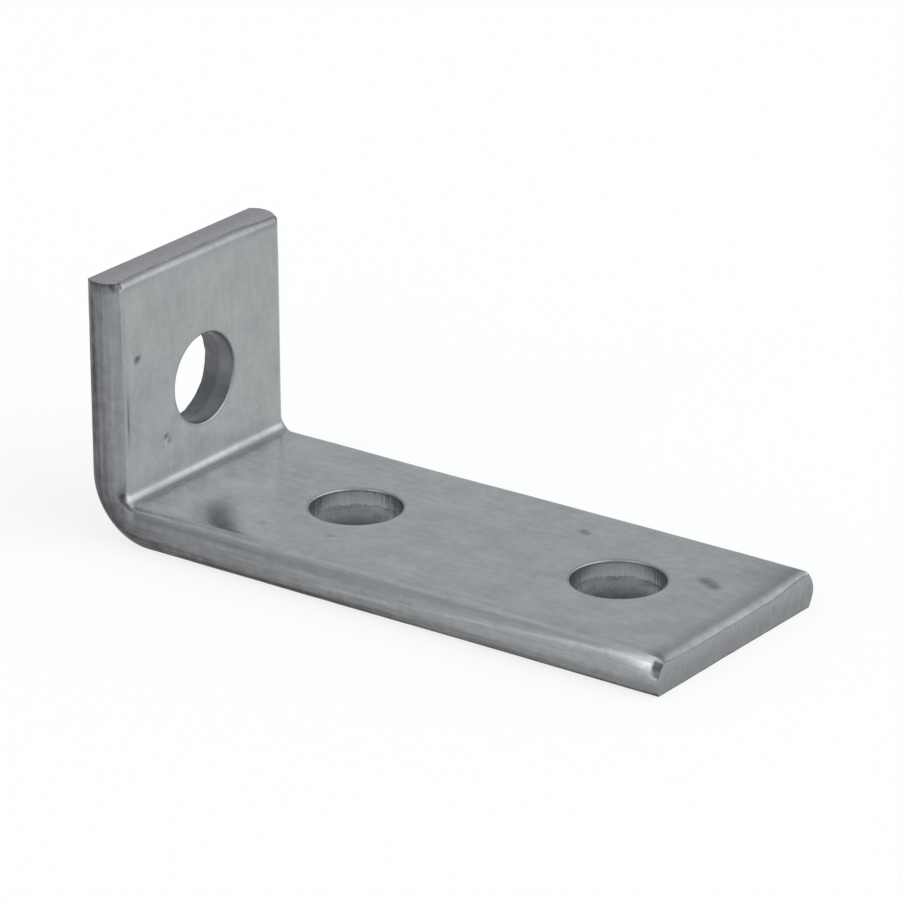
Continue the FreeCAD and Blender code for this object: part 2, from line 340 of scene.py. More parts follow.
# How far points move, and the sizes of the bumps along and across, in millimetres.
wear = {
    # amount, size of the coarse bumps, size of the fine ones and their share
    "roll": (0.035, 11, 4.3, 0.45),  # waviness of the rolled faces
    "shear": (0.06, 1.3, 0.6, 0.5),  # roughness of the sheared ends
    "torn": (0.12, 1.4, 0.7, 0.6),  # roughness of the torn walls
    # the same for the ridges of the rolled sides: long along the bar and short up its thickness
    "streak": (0.05, (22, 3, 0.95), (11, 1.5, 0.95 / 2.3), 0.4),
    # knocks: leg, place along it and across it, radius, depth
    "knocks": [
        ("short", 28.6, -16.2, 1.0, 0.16),
        ("short", 13.9, -9.3, 1.0, 0.10),
        ("short", 12.9, -8.5, 1.0, 0.08),
        ("long", 27.4, -13.5, 1.1, 0.05),
        ("long", 38.7, -11.6, 1.0, 0.08),
        ("long", 68.9, 11.4, 1.0, 0.12),
        ("long", 93.4, 6.7, 1.1, 0.12),
        ("long", 96.3, 5.3, 1.2, 0.10),
    ],
}


def placeAlong(leg, along):
    # s of a place that is given along a leg, from the outer corner of the fold
    return bar["shortLeg"] - along if leg == "short" else barLength - bar["longLeg"] + along


def latticeNoise(points, size, seed):
    # Smooth noise from -1 to 1: random values on a lattice of that cell size, blended with an even S between
    # them. The large numbers only mix a corner's place into its random value.
    grid = points / size
    cell = np.floor(grid).astype(np.int64)
    t = grid - cell
    t = t * t * (3 - 2 * t)
    total = np.zeros(len(points))
    for corner in np.ndindex(2, 2, 2):
        at = cell + corner
        mixed = (at[:, 0] * 73856093) ^ (at[:, 1] * 19349663) ^ (at[:, 2] * 83492791) ^ (seed * 2654435761)
        mixed = (mixed ^ (mixed >> 13)) * 1274126177 & 0x7FFFFFFF
        value = ((mixed ^ (mixed >> 16)) & 0xFFFF) / 32767.5 - 1
        total += np.prod(np.where(np.array(corner) == 1, t, 1 - t), 1) * value
    return total


def bumps(points, kind, seed):
    # coarse noise and a share of fine noise, times the amount
    amount, coarse, fine, fineShare = wear[kind]
    return amount * (latticeNoise(points, coarse, seed) + fineShare * latticeNoise(points, fine, seed + 1))


def vertexNormals(points, faces):
    # Sum of the crossed diagonals of the faces round each point.
    cross = np.cross(points[faces[:, 2]] - points[faces[:, 0]], points[faces[:, 3]] - points[faces[:, 1]])
    total = np.zeros_like(points)
    for k in range(4):
        np.add.at(total, faces[:, k], cross)
    return total / np.maximum(np.linalg.norm(total, axis=1), 1e-12)[:, None]


def joinSurfaces():
    # The skin, both ends and the three holes in one list; points of neighbours that fall together become one.
    skin, skinFaces, skinFinish = barSkin()
    parts = [(skin, skinFaces, skinFinish), shearedEnd(skin[0], False), shearedEnd(skin[-1], True)]
    parts += [punchedHole(place, breakout) for place, breakout in zip(holePlaces, hole["breakout"])]
    grids = [part[0].reshape(-1, 3) for part in parts]
    offsets = np.cumsum([0] + [len(grid) for grid in grids[:-1]])
    faces = np.concatenate([part[1] + offset for part, offset in zip(parts, offsets)])
    finish = np.concatenate([part[2] for part in parts])
    flat = np.concatenate(grids)
    key = np.round(flat * 2000).astype(np.int64)  # half a thousandth of a millimetre
    _, first, same = np.unique(key, axis=0, return_index=True, return_inverse=True)
    return flat[first], same.reshape(-1)[faces], finish


def pressAndCut(flat):
    # What shears, punch and knocks do to the flat bar: each moves the points by fades of their distance.
    s, y, q = flat.T.copy()
    upper = smoothStep(shear["dipFrom"], 1, q / bar["thickness"])
    nearSide = smoothStep(*shear["pullBand"], -y)
    fromNear = np.maximum(bar["width"] / 2 + y, 0)
    hold = 1.0
    for across, (share, start, whole) in ((y, shear["farHold"]), (-y, shear["nearHold"])):
        hold = hold - share * smoothStep(start, whole, across)
    nearReach, nearWidth = shear["nearReach"]
    for end, away in enumerate((flat[:, 0], barLength - flat[:, 0])):
        q -= shear["dip"][end] * hold * upper * np.exp(-away / shear["reach"])
        q -= shear["nearDip"][end] * upper * np.exp(-away / nearReach - fromNear / nearWidth)
        y += shear["pull"][end] * upper * nearSide * np.exp(-away / shear["pullReach"])
    # below the blade's drag the free end broke away at a slant
    tilt = 1 - shear["slantTilt"] * flat[:, 1] / bar["width"]
    fade = 1 - smoothStep(0, shear["slantReach"], barLength - flat[:, 0])
    s -= shear["slant"] * tilt * fade * np.clip(1 - flat[:, 2] / shear["slantHeight"], 0, 1)
    # the face is drawn in round each rolled rim
    share = smoothStep(landEnd, bar["thickness"], flat[:, 2])
    for place in holePlaces:
        away = np.hypot(s - place, flat[:, 1]) - hole["radius"] - hole["rimRoll"]
        q -= hole["dish"] * share * np.exp(-np.maximum(away, 0) / hole["dishReach"])
    # knocks are shallow round hollows in the inner face
    onInner = flat[:, 2] > bar["thickness"] - 0.5
    for leg, along, across, radius, deep in wear["knocks"]:
        away = np.hypot(flat[:, 0] - placeAlong(leg, along), flat[:, 1] - across)
        q -= deep * bell(away, 0, radius) * onInner
    return np.stack([s, y, q], -1)


def roughen(flat, points, faces, finish):
    # Moves each point along its normal by the noise that belongs to its own surface.
    cut, torn = np.zeros(len(points)), np.zeros(len(points))
    cut[np.unique(faces[finish == shearedFace])] = 1
    torn[np.unique(faces[finish == holeWall])] = 1
    # the ridges are on the sides only, and fade before the sheared ends
    side = smoothStep(bar["panel"] + 6, bar["width"] / 2 - 0.8, np.abs(flat[:, 1])) * (1 - cut)
    side *= smoothStep(0.8, 4, np.minimum(flat[:, 0], barLength - flat[:, 0]))
    low = 1 - smoothStep(0.4, 0.52, flat[:, 2] / bar["thickness"])  # the wall is torn only below its land
    move = bumps(points, "roll", 1) * (1 - 0.5 * cut)
    move += bumps(flat, "streak", 3) * side
    move += bumps(points, "shear", 5) * cut
    move += bumps(points, "torn", 7) * torn * low
    return points + vertexNormals(points, faces) * move[:, None]


def buildFitting():
    # the flat bar with its holes, pressed and cut, folded, and roughened
    flat, faces, finish = joinSurfaces()
    points = foldBar(pressAndCut(flat))
    points = roughen(flat, points, faces, finish)
    # the bar keeps its size, and lies flat on its outer face
    return flat, np.clip(points, *(np.array(cadBox) * 1000)), faces, finish


flat, points, faces, finish = buildFitting()
print("bar:", len(points), "points", len(faces), "quads")

# How dark the mill edges and the hole walls are drawn: partly their dirt, partly painted shade and painted
# contact shadow. A band is how dark it is by the outer face, and the two heights over that face between which
# it fades.
dirt = {
    "everywhere": 0.16,
    "shortLeg": 0.14,  # painted shade: more on the short leg's sides
    # bands of painted shade along the outer edge of the short leg's sides
    "shortBands": [(0.46, 1.4, 5.4), (0.2, 0.3, 2.0)],
    # bands of painted contact shadow along the long leg's lower edge
    "longBands": [(0.46, 0.2, 3.0), (0.42, 0, 1.2), (0.3, 0, 0.5)],
    "pastFold": (0.31, 40, 115),  # more on the long leg's sides, and from where to where that fades
    "fold": (0.25, 0.6, 0.6),  # more on the fold's sides: how much, and its middle and reach as shares of it
    "foldTop": (0.3, 0.45, 0.35),  # painted shade by its inner edge, in the crease
    "pinch": 0.5,  # a fleck of painted shade where that edge is pinched
    "border": (5.35, 6.14),  # the height where the dirt stops, on the long leg and on the short one
    "borderSoft": (0.45, 0.12),  # half the width of that border
    "cuts": 0.85,  # painted shade on the cut upright edges of the sheared ends
    "shortHole": (0.56, 0.045, 0.012),  # dirt and painted shade on the short leg's hole wall: in the middle, and more for each millimetre up and down from it
    "longHoles": (0.75, 0, 3.0),  # a band of dirt and painted shade low on the long leg's hole walls
    "most": 0.95,
}

# How much duller the inner face is where it was worked, and how much darker as painted shade that dims its
# highlights and paints the dark cut by the free end's near corner; and the painted highlight along the near
# side.
polish = {
    "fold": 0.9,
    "freeEnd": 0.35,
    "shortEnd": 0.45,  # painted shade dimming the roll's highlight, towards the far side
    # painted shade by the free end's far corner
    "farCorner": 0.6,
    # painted shade of the dark cut by the free end's near corner
    "nearCorner": 1.3,
    "most": 1.4,
    "shine": (0.10, 1.0, 9),  # all along, at the free end's corner, and how fast that fades
}


def grimeMap(flat):
    # Dirt on the fold's sides; painted shade along the outer edge of the short leg's sides, by the fold's
    # crease, on the cut corners and in the holes; painted contact shadow along the long leg's lower edge.
    # Most along the outer edge of the short leg's sides, on the fold's sides and on the cut corners, and less
    # along the long leg.
    s, y, q = flat.T

    def banded(bands):
        return sum(dark * (1 - smoothStep(low, high, q)) for dark, low, high in bands)

    onShort = 1 - smoothStep(foldStart, foldEnd + 10, s)
    # painted shade along the outer edge of the short leg's sides
    outer = banded(dirt["shortBands"]) * (0.84 + 0.16 * smoothStep(6, 20, s))
    more, start, whole = dirt["pastFold"]
    # painted contact shadow along the long leg's lower edge
    onLong = banded(dirt["longBands"])
    onLong += more * (1 - smoothStep(start, whole, s)) * (0.7 + 0.3 * smoothStep(0.5, 3, q))
    grime = dirt["everywhere"] + onShort * (dirt["shortLeg"] + outer) + (1 - onShort) * onLong
    more, middle, reach = dirt["fold"]
    grime += more * bell(foldShare(s), middle, reach) * (1 - smoothStep(5.4, 6.3, q)) * (1 - 0.9 * outer)
    # painted shade by the fold's inner edge, and at its pinched near end
    more, middle, reach = dirt["foldTop"]
    grime += more * bell(foldShare(s), middle, reach) * smoothStep(3.6, 5.2, q)
    grime += dirt["pinch"] * bell(s, foldStart + 1.5, 1.6) * bell(q, 5.8, 0.6)
    border, soft = [np.interp(onShort, (0, 1), dirt[name]) for name in ("border", "borderSoft")]
    grime *= 1 - smoothStep(border - soft, border + soft, q)
    # painted shade on the cut upright edges of the sheared ends
    for end, away, soft, top in ((0, s, 0.5, (6.2, 6.34)), (1, barLength - s, 0.4, (5.4, 5.9))):
        cut = shear["cutBack"][-1][end] * cutRise(q, end)
        onCut = (1 - smoothStep(0, soft, away - cut)) * (cut > 0.05) * (1 - smoothStep(*top, q))
        grime = np.maximum(grime, dirt["cuts"] * onCut)
    # the hole walls: dirt and painted shade
    dark, upward, downward = dirt["shortHole"]
    below = s - holePlaces[0]
    wall = onShort * (dark + upward * np.maximum(-below, 0) + downward * np.maximum(below, 0))
    wall += (1 - onShort) * banded([dirt["longHoles"]])
    return np.clip(np.where(np.abs(y) < bar["panel"], wall, grime), 0, dirt["most"])


def dullMap(flat):
    # Rougher, and darker as painted shade that dims the highlights: most in the fold, along the rolled ends,
    # round the rims and by the free end's corners, where it paints their shade.
    s, y, q = flat.T
    away = barLength - s
    dull = polish["fold"] * bell(foldShare(s), 0.5, 0.5)
    dull += np.maximum(1 - smoothStep(0.8, 2.2, s), 1 - smoothStep(1.0, 4.0, away))
    dull += polish["freeEnd"] * (1 - smoothStep(0.4, 1.6, away))
    dull += polish["shortEnd"] * smoothStep(-4, 16, y) * (1 - smoothStep(0.8, 2.0, s))
    dull += polish["farCorner"] * (1 - smoothStep(3, 14, away)) * smoothStep(4, 18, y)
    toHole = np.min([np.hypot(s - place, y) for place in holePlaces], 0) - hole["radius"]
    dull += 1 - smoothStep(hole["rimRoll"], 1.6 * hole["rimRoll"], toHole)
    # painted shade of the dark cut by the free end's near corner
    nearCorner = polish["nearCorner"] * bell(away, 1.2, 1.0) * bell(y, -18.7, 0.9)
    return np.clip(dull, 0, polish["most"]) + nearCorner


def shineMap(flat):
    # A painted highlight on the near side, drawn as a burnished line: faint and low by the fold, wider,
    # higher and brighter up to a small patch by the free end's corner.
    s, y, q = flat.T
    away = barLength - s
    faint, bright, reach = polish["shine"]
    level = faint + bright * np.exp(-away / reach)
    level *= smoothStep(1.15, 1.7, away) * (1 - smoothStep(60, 88, away)) * (y < 0)
    return level * bell(q, 5.62 - 0.044 * away - 0.00015 * away**2, 0.22 + 0.5 * np.exp(-away / 8))


def makePiece(name, flat, points, faces, finish):
    mesh = bpy.data.meshes.new(name)
    mesh.from_pydata(points / 1000, [], faces)
    place = mesh.attributes.new("barPlace", "FLOAT_VECTOR", "POINT")  # s, y and q of the flat bar, in metres
    place.data.foreach_set("vector", (flat / 1000).astype(np.float32).ravel())
    for title, field in (("grime", grimeMap(flat)), ("dull", dullMap(flat)), ("shine", shineMap(flat))):
        shares = mesh.attributes.new(title, "FLOAT", "POINT")
        shares.data.foreach_set("value", field.astype(np.float32))
    mesh.polygons.foreach_set("material_index", finish.astype(np.int32))
    mesh.polygons.foreach_set("use_smooth", np.ones(len(faces), bool))
    mesh.update()
    mesh.set_sharp_from_angle(angle=math.radians(50))
    piece = bpy.data.objects.new(name, mesh)
    bpy.context.scene.collection.objects.link(piece)
    return piece


fitting = makePiece("angleFitting", flat, points, faces, finish)
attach(fitting, "root")
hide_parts("angle_fitting")
print("wear, painted shade and painted highlight mapped")


def linear(hexColour):
    # sRGB hex to linear
    values = [int(hexColour[i : i + 2], 16) / 255 for i in (1, 3, 5)]
    return tuple(v / 12.92 if v <= 0.04045 else ((v + 0.055) / 1.055) ** 2.4 for v in values) + (1.0,)


def addNode(tree, kind, inputs=None, output=0, **settings):
    # A node with its settings. Each input, by name or number, takes a plain value, a hex colour or another
    # node's output, and what comes back is this node's output of that name or number.
    node = tree.nodes.new("ShaderNode" + kind)
    for name, value in settings.items():
        setattr(node, name, value)
    for key, value in (inputs or {}).items():
        if isinstance(value, bpy.types.NodeSocket):
            tree.links.new(value, node.inputs[key])
        else:
            node.inputs[key].default_value = linear(value) if isinstance(value, str) else value
    return node.outputs[output] if len(node.outputs) else node


def newMaterial(name):
    material = bpy.data.materials.new(name)
    material.use_nodes = True
    material.node_tree.nodes.clear()
    return material, material.node_tree


# Each finish takes Object coordinates and the place on the flat bar, and gives colour, roughness and relief.
# Many of their nodes share these settings and inputs.
times = {"operation": "MULTIPLY"}
addUp = {"operation": "MULTIPLY_ADD"}  # the first input times the second, plus the third
blend = {"data_type": "RGBA", "output": 2}
middling = {"From Min": 0.3, "From Max": 0.7}  # the range that most of a noise lies in
most = {"From Min": 0.2, "From Max": 0.8}  # and most of a tone

# the dark of dirt, and of painted shade where the maps use it for shade
grimeColour = "#3E3B40"

rolledZinc = {
    "light": "#A9ABAC",
    "dark": "#959798",
    "roughness": (0.28, 0.18),
    "cloud": 6.0,  # mm, soft clouds of the plating
    "smear": 3.2,  # mm, smears left on the long leg by handling
    "fleck": 1.3,  # mm, small patches where the bath took unevenly
    "drag": 0.9,  # mm, marks drawn out along the bar by the mill's rolls
    "grain": 0.4,  # mm, drawn coarser than the real 0.1 so that it shows
    "relief": 0.16,  # mm
    "handled": (0.1, 0.34),  # how strong the smears are on the short leg and on the long one
    "wander": 10 / 9,  # mm, raggedness of the marks' edges
    "ragged": 0.6,  # mm, how far it moves them
    # marks of handling and of the press: leg, place along it and across it, radius, how deep and how dark
    "marks": [
        ("short", 28.4, -16.3, 0.60, 0.5, 0.60),
        ("short", 28.6, -15.7, 0.50, 0.4, 0.40),
        ("short", 29.6, -17.0, 0.40, 0.2, 0.15),
        ("short", 14.0, -9.4, 0.50, 0.4, 0.38),
        ("short", 13.2, -8.7, 0.45, 0.4, 0.30),
        ("short", 12.6, -10.2, 0.40, 0.2, 0.20),
        ("long", 27.4, -13.5, 0.9, 0.3, 0.2),
        ("long", 38.7, -11.6, 0.7, 0.4, 0.3),
        ("long", 68.4, 11.7, 0.75, 0.5, 0.4),
        ("long", 69.4, 11.2, 0.75, 0.5, 0.4),
        ("long", 92.9, 6.9, 1.0, 0.6, 0.45),
        ("long", 94.3, 6.3, 1.2, 0.7, 0.55),
        ("long", 95.7, 5.6, 1.0, 0.6, 0.45),
    ],
}


def zincOnRolledFace(tree, place, barPlace):
    # Bright zinc plate over hot rolled, pickled steel: a satin mirror, clouded, with a fine grain and marks.
    dull = addNode(tree, "Attribute", attribute_name="dull", output="Fac")
    # patterns drawn out along the bar, eightfold and twofold
    along = addNode(tree, "VectorMath", {0: barPlace, 1: (0.12, 1.0, 1.0)}, **times)
    halfAlong = addNode(tree, "VectorMath", {0: barPlace, 1: (0.45, 1.0, 1.0)}, **times)
    patterns = {}
    for name, where, detail in (
        ("cloud", place, {"Detail": 4.0, "Roughness": 0.55}),
        ("fleck", place, {"Detail": 3.0, "Roughness": 0.6}),
        ("grain", place, {"Detail": 2.0}),
        ("drag", along, {"Detail": 2.0}),
        ("smear", halfAlong, {"Detail": 4.0, "Roughness": 0.6}),
    ):
        noise = {"Vector": where, "Scale": 1000 / rolledZinc[name], **detail}
        patterns[name] = addNode(tree, "TexNoise", noise)
    tone = -0.75  # with the shares below, its middle is at a half
    for name, share in (("cloud", 1.25), ("fleck", 0.75), ("drag", 0.5)):
        tone = addNode(tree, "Math", {0: patterns[name], 1: share, 2: tone}, **addUp)
    colour = addNode(tree, "Mix", {0: tone, 6: rolledZinc["dark"], 7: rolledZinc["light"]}, **blend)
    low, high = rolledZinc["roughness"]
    rough = addNode(tree, "MapRange", {"Value": tone, **most, "To Min": low, "To Max": high})

    # the long leg's face was handled more: its smears are stronger
    station = addNode(tree, "SeparateXYZ", {0: barPlace}, output="X")
    low, high = rolledZinc["handled"]
    ends = {"From Min": foldEnd / 1000, "From Max": (foldEnd + 8) / 1000, "To Min": low, "To Max": high}
    handled = addNode(tree, "MapRange", {"Value": station, **ends})
    level = addNode(tree, "Math", {0: patterns["fleck"], 1: 0.35, 2: -0.675}, **addUp)
    level = addNode(tree, "Math", {0: patterns["smear"], 1: 1.0, 2: level}, **addUp)
    level = addNode(tree, "Math", {0: level, 1: handled, 2: 1.0}, **addUp)
    colour = addNode(tree, "HueSaturation", {"Color": colour, "Value": level})

    # each mark is a small hollow with a ragged edge, and dirt has stayed in it
    wander = {"Vector": place, "Scale": 1000 / rolledZinc["wander"], "Detail": 3.0}
    wander = addNode(tree, "TexNoise", wander, output="Color")
    ragged = addNode(tree, "VectorMath", {0: wander, "Scale": rolledZinc["ragged"] / 1000}, operation="SCALE")
    moved = addNode(tree, "VectorMath", {0: barPlace, 1: ragged}, operation="ADD")
    mean = rolledZinc["ragged"] / 2  # the noise moves all places by this much on average
    dark, deep = 0.0, 0.0
    for leg, alongLeg, across, radius, depth, darkness in rolledZinc["marks"]:
        centre = np.array([placeAlong(leg, alongLeg), across, bar["thickness"]]) + mean
        away = {0: moved, 1: centre / 1000}
        away = addNode(tree, "VectorMath", away, operation="DISTANCE", output="Value")
        ends = {"From Min": 1.6 * radius / 1000, "From Max": 0.1 * radius / 1000}
        near = addNode(tree, "MapRange", {"Value": away, **ends}, interpolation_type="SMOOTHSTEP")
        dark = addNode(tree, "Math", {0: near, 1: darkness, 2: dark}, **addUp)
        deep = addNode(tree, "Math", {0: near, 1: depth, 2: deep}, **addUp)
    # the dull share darkens as painted shade; the marks darken with their dirt
    dirty = addNode(tree, "Math", {0: dull, 1: 0.24, 2: dark}, **addUp)
    colour = addNode(tree, "Mix", {0: dirty, 6: colour, 7: grimeColour}, **blend)
    for worn in (dark, dull):
        rough = addNode(tree, "Math", {0: worn, 1: 0.2, 2: rough}, **addUp)
    height = 0.0
    for pattern, share in ((patterns["grain"], 0.045), (patterns["fleck"], 0.05), (deep, -0.8)):
        height = addNode(tree, "Math", {0: pattern, 1: share, 2: height}, **addUp)
    relief = addNode(tree, "Bump", {"Height": height, "Distance": rolledZinc["relief"] / 1000})
    return colour, rough, relief


edgeZinc = {
    "light": "#ADB0B1",
    "dark": "#919495",
    # the near white of the painted highlight on the near side
    "highlightWhite": "#F0F2F3",
    "roughness": (0.30, 0.20),
    "streak": 0.75,  # mm, streaks of the rolls
    "fine": 0.3,  # mm
    "fleck": 1.6,  # mm
    "relief": 0.08,  # mm
}


def zincOnMillEdge(tree, place, barPlace):
    # The bar's edges, shaped by the mill's rolls: lengthwise streaks, duller, darker towards the outer face
    # with dirt and painted shade, and a painted highlight along the near side.
    grime = addNode(tree, "Attribute", attribute_name="grime", output="Fac")
    shine = addNode(tree, "Attribute", attribute_name="shine", output="Fac")
    # patterns drawn out along the bar, thirtyfold and elevenfold
    rolled = addNode(tree, "VectorMath", {0: barPlace, 1: (0.035, 0.4, 1.0)}, **times)
    scored = addNode(tree, "VectorMath", {0: barPlace, 1: (0.09, 0.6, 1.0)}, **times)
    patterns = []
    for name, where, detail in (
        ("streak", rolled, {"Detail": 3.0, "Roughness": 0.55}),
        ("fleck", place, {"Detail": 3.0, "Roughness": 0.6}),
        ("fine", scored, {"Detail": 2.0}),
    ):
        noise = {"Vector": where, "Scale": 1000 / edgeZinc[name], **detail}
        patterns.append(addNode(tree, "TexNoise", noise))
    streaks, flecks, fine = patterns
    tone = -0.75  # its middle is at a half again
    for pattern, share in ((streaks, 1.25), (flecks, 0.75), (fine, 0.5)):
        tone = addNode(tree, "Math", {0: pattern, 1: share, 2: tone}, **addUp)
    colour = addNode(tree, "Mix", {0: tone, 6: edgeZinc["dark"], 7: edgeZinc["light"]}, **blend)
    # the dirt and painted shade lie unevenly: along the streaks and in blotches
    uneven = addNode(tree, "MapRange", {"Value": streaks, **middling, "To Min": 1.18, "To Max": 0.82})
    veil = addNode(tree, "Math", {0: grime, 1: uneven}, **times)
    ends = {"From Min": 0.35, "From Max": 0.65, "To Min": 1.08, "To Max": 0.92}
    blotches = addNode(tree, "MapRange", {"Value": flecks, **ends})
    veil = addNode(tree, "Math", {0: veil, 1: blotches}, **times)
    colour = addNode(tree, "Mix", {0: veil, 6: colour, 7: grimeColour}, **blend)
    # painted highlight: a near white along the near side's upper edge, brightest by the free end's corner
    rubbed = addNode(tree, "MapRange", {"Value": flecks, **middling, "To Min": 0.6, "To Max": 1.1})
    rubbed = addNode(tree, "Math", {0: shine, 1: rubbed}, **times)
    colour = addNode(tree, "Mix", {0: rubbed, 6: colour, 7: edgeZinc["highlightWhite"]}, **blend)
    low, high = edgeZinc["roughness"]
    rough = addNode(tree, "MapRange", {"Value": tone, **most, "To Min": low, "To Max": high})
    rough = addNode(tree, "Math", {0: grime, 1: 0.14, 2: rough}, **addUp)
    height = addNode(tree, "Math", {0: fine, 1: 0.3, 2: streaks}, **addUp)
    relief = addNode(tree, "Bump", {"Height": height, "Distance": edgeZinc["relief"] / 1000})
    return colour, rough, relief


shearedZinc = {
    "warm": "#99979C",
    "cool": "#909795",
    "pink": "#A2949A",  # the short leg's end is a little pinker
    "roughness": (0.28, 0.38),
    "mottle": 3.2,  # mm
    "fleck": 0.9,  # mm
    "drag": 0.45,  # mm, drag lines of the blade
    "ragged": 1.2,  # mm, how far the borders between the bands wander
    # bands as the two heights in mm between which each one comes in
    "torn": (4.2, 2.4),
    # painted contact shadow along the bottom
    "lowest": (1.3, 0.5),
    # a painted glint along the upper edge, at the free end only
    "glintBand": (4.0, 5.6),
    "relief": 0.07,  # mm
}


def zincOnShearedEnd(tree, place, barPlace):
    # The sheared ends: drag lines of the blade from the inner face down, then a torn, matt, mottled half.
    dragged = addNode(tree, "VectorMath", {0: barPlace, 1: (1.0, 1.0, 0.15)}, **times)
    patterns = {}
    for name, where, roughness in (("mottle", place, 0.6), ("fleck", place, 0.65), ("drag", dragged, 0.6)):
        noise = {"Vector": where, "Scale": 1000 / shearedZinc[name], "Detail": 3.0, "Roughness": roughness}
        patterns[name] = addNode(tree, "TexNoise", noise)
    flecks = patterns["fleck"]
    height = addNode(tree, "SeparateXYZ", {0: barPlace}, output="Z")
    height = addNode(tree, "Math", {0: flecks, 1: shearedZinc["ragged"] / 1000, 2: height}, **addUp)
    for name in ("torn", "lowest", "glintBand"):
        start, whole = shearedZinc[name]
        ends = {"From Min": start / 1000, "From Max": whole / 1000}
        patterns[name] = addNode(tree, "MapRange", {"Value": height, **ends})
    patch = addNode(tree, "MapRange", {"Value": patterns["mottle"], "From Min": 0.35, "From Max": 0.65})
    colour = addNode(tree, "Mix", {0: patch, 6: shearedZinc["warm"], 7: shearedZinc["cool"]}, **blend)

    # from the short leg's end to the free end: less pink, darker as painted shade, and with a painted glint
    # on its upper edge
    station = addNode(tree, "SeparateXYZ", {0: barPlace}, output="X")
    ends = {"From Min": 0.0, "From Max": 0.1}
    pink = addNode(tree, "MapRange", {"Value": station, **ends, "To Min": 0.35, "To Max": 0.0})
    level = addNode(tree, "MapRange", {"Value": station, **ends, "To Min": 0.60, "To Max": 0.455})
    glossier = addNode(tree, "MapRange", {"Value": station, **ends, "From Min": 0.05, "To Max": 0.11})
    colour = addNode(tree, "Mix", {0: pink, 6: colour, 7: shearedZinc["pink"]}, **blend)
    # the lowest band darkens as painted contact shadow, and the glint band brightens as a painted glint
    for name, share in (("drag", 0.4), ("fleck", 0.3), ("mottle", 0.1), ("torn", -0.06), ("lowest", -0.13)):
        level = addNode(tree, "Math", {0: patterns[name], 1: share, 2: level}, **addUp)
    level = addNode(tree, "Math", {0: patterns["glintBand"], 1: glossier, 2: level}, **addUp)
    colour = addNode(tree, "HueSaturation", {"Color": colour, "Value": level})
    low, high = shearedZinc["roughness"]
    rough = addNode(tree, "MapRange", {"Value": flecks, **middling, "To Min": low, "To Max": high})
    rough = addNode(tree, "Math", {0: patterns["torn"], 1: 0.12, 2: rough}, **addUp)
    relief = addNode(tree, "Math", {0: patterns["drag"], 1: flecks}, operation="ADD")
    relief = addNode(tree, "Bump", {"Height": relief, "Distance": shearedZinc["relief"] / 1000})
    return colour, rough, relief


holeZinc = {
    "land": ("#94989B", "#A3A7A9"),  # between the scores and on them
    "torn": ("#7F8386", "#8F9396"),  # in the pits and between them
    "roughness": (0.26, 0.34),
    "score": 0.5,  # mm
    "fleck": 0.8,  # mm
    "ragged": 1.2,  # mm, how far the border between land and torn wall wanders
    "relief": 0.14,  # mm
}


def zincInPunchedHole(tree, place, barPlace):
    # The wall of a punched hole: a burnished land below the rim, scored up and down, then dark torn steel.
    grime = addNode(tree, "Attribute", attribute_name="grime", output="Fac")
    upright = addNode(tree, "VectorMath", {0: barPlace, 1: (1.0, 1.0, 0.08)}, **times)
    scores = {"Vector": upright, "Scale": 1000 / holeZinc["score"], "Detail": 3.0, "Roughness": 0.6}
    scores = addNode(tree, "TexNoise", scores)
    flecks = {"Vector": place, "Scale": 1000 / holeZinc["fleck"], "Detail": 3.0, "Roughness": 0.65}
    flecks = addNode(tree, "TexNoise", flecks)
    height = addNode(tree, "SeparateXYZ", {0: barPlace}, output="Z")
    height = addNode(tree, "Math", {0: flecks, 1: holeZinc["ragged"] / 1000, 2: height}, **addUp)
    ends = {"From Min": (landEnd + 0.9) / 1000, "From Max": (landEnd + 0.2) / 1000}
    torn = addNode(tree, "MapRange", {"Value": height, **ends})
    halves = []
    for pattern, name in ((scores, "land"), (flecks, "torn")):
        pattern = addNode(tree, "MapRange", {"Value": pattern, **middling})
        dark, light = holeZinc[name]
        halves.append(addNode(tree, "Mix", {0: pattern, 6: dark, 7: light}, **blend))
    colour = addNode(tree, "Mix", {0: torn, 6: halves[0], 7: halves[1]}, **blend)
    # darker with dirt and painted shade in the hole
    colour = addNode(tree, "Mix", {0: grime, 6: colour, 7: grimeColour}, **blend)
    low, high = holeZinc["roughness"]
    rough = addNode(tree, "MapRange", {"Value": scores, **middling, "To Min": low, "To Max": high})
    rough = addNode(tree, "Math", {0: torn, 1: 0.14, 2: rough}, **addUp)
    rugged = addNode(tree, "Math", {0: flecks, 1: torn}, **times)
    relief = addNode(tree, "Math", {0: scores, 1: 0.5, 2: rugged}, **addUp)
    relief = addNode(tree, "Bump", {"Height": relief, "Distance": holeZinc["relief"] / 1000})
    return colour, rough, relief


# in the order of their numbers on the faces
for finishOf in (zincOnRolledFace, zincOnShearedEnd, zincInPunchedHole, zincOnMillEdge):
    material, tree = newMaterial(finishOf.__name__)
    place = addNode(tree, "TexCoord", output="Object")
    barPlace = addNode(tree, "Attribute", attribute_name="barPlace", output="Vector")
    colour, rough, relief = finishOf(tree, place, barPlace)
    metal = {"Metallic": 1.0, "Base Color": colour, "Roughness": rough, "Normal": relief}
    metal = addNode(tree, "BsdfPrincipled", metal)
    addNode(tree, "OutputMaterial", {"Surface": metal})
    fitting.data.materials.append(material)
print("finishes made")

